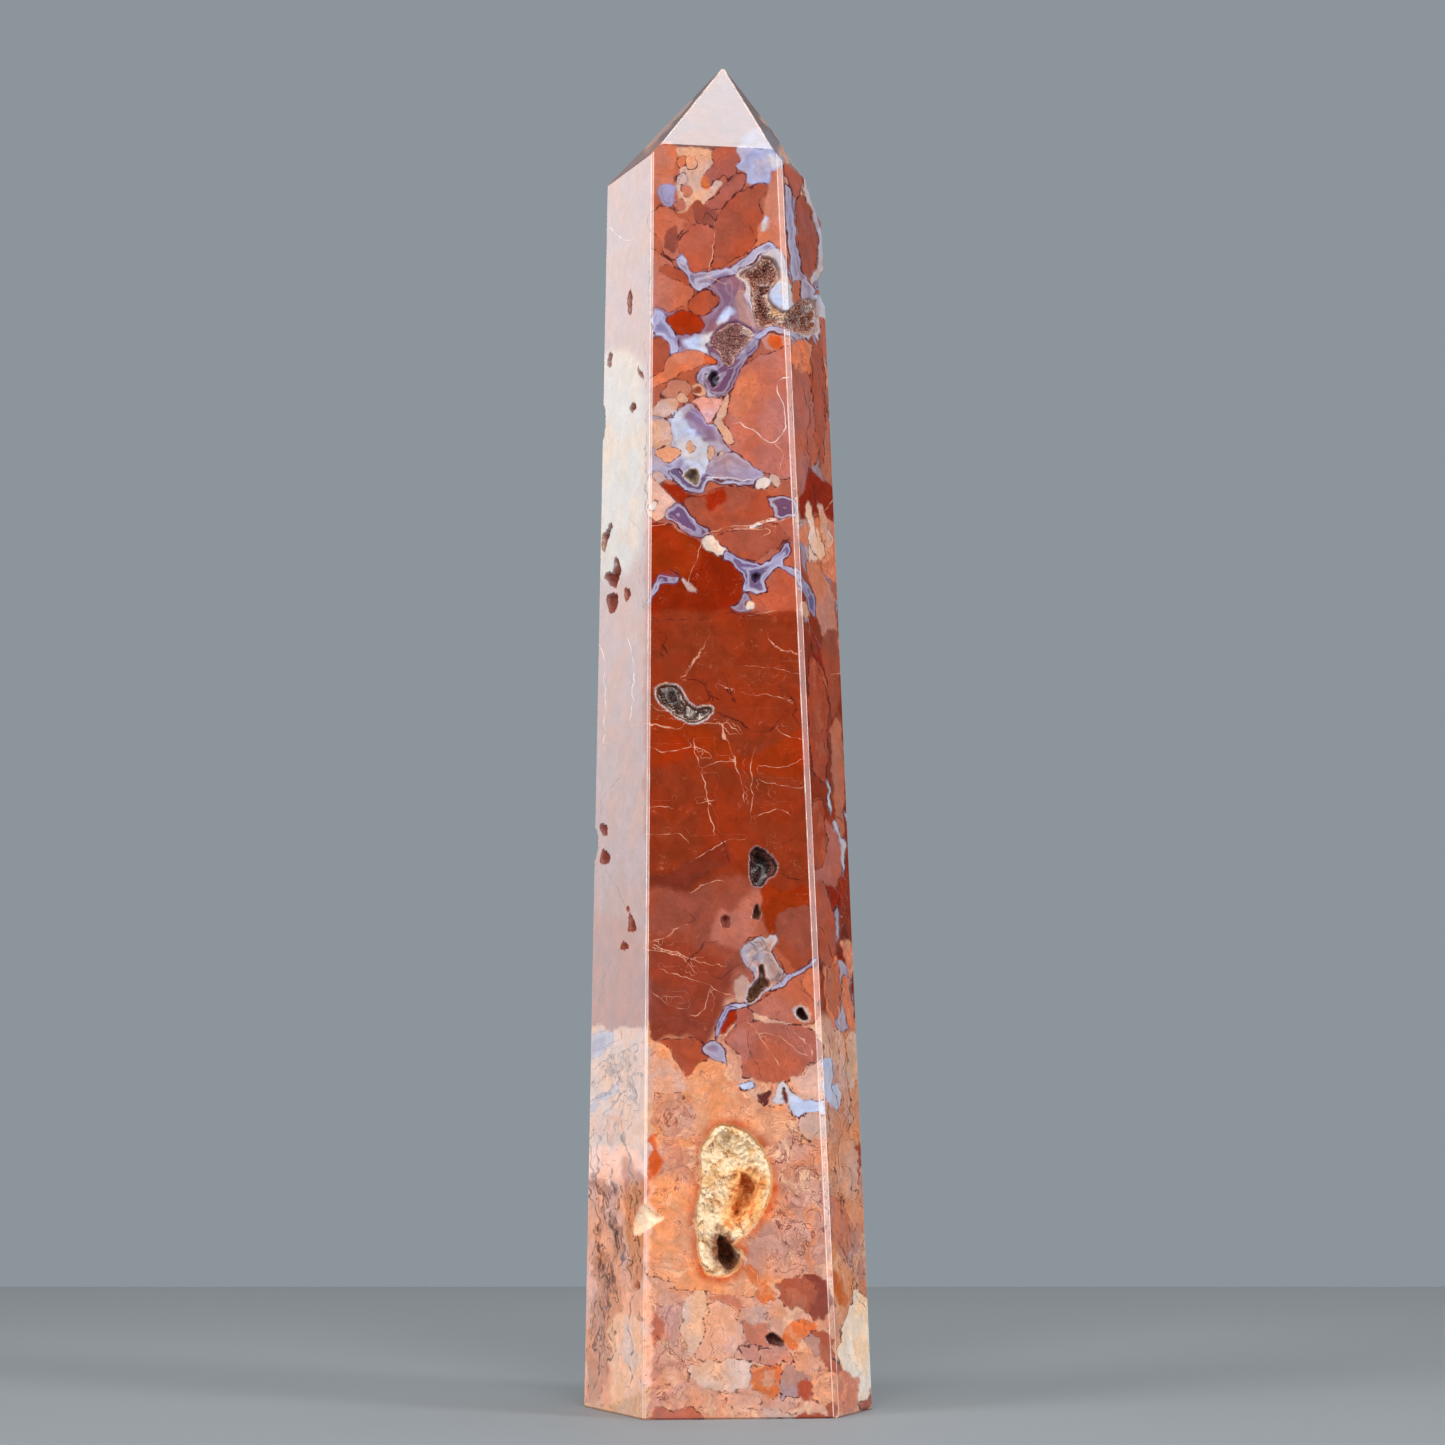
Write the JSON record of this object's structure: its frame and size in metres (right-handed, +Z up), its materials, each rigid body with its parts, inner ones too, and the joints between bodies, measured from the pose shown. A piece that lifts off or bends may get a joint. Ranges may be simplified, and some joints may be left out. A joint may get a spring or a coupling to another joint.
{
  "type": "agate obelisk",
  "caption": "Hand-cut, polished agate tower with a faceted point and natural crystal-lined hollows, standing on a flat sawn foot.",
  "frame": {"origin": "middle of the flat foot, on the surface that the tower stands on", "axes": "+Z up towards the point, -Y out of the broad front face, +X to the right seen from the front"},
  "size_m": [0.0515, 0.0442, 0.25],
  "materials": {
    "agate": "polished red, peach and lavender brecciated agate",
    "quartz_druse": "grey-brown sparkling quartz crystals",
    "purple_quartz": "purple-grey sparkling quartz crystals",
    "smoky_quartz": "nearly black smoky quartz crystals",
    "ochre": "dull crumbly cream and orange ochre"
  },
  "bodies": {
    "root": {"agate_obelisk": "agate", "upper_druse_crust": "quartz_druse", "purple_druse_crust": "purple_quartz", "white_vug_crust": "quartz_druse", "smoky_druse_crust": "smoky_quartz", "grey_druse_crust": "quartz_druse", "ochre_crust": "ochre"}
  },
  "joints": []
}
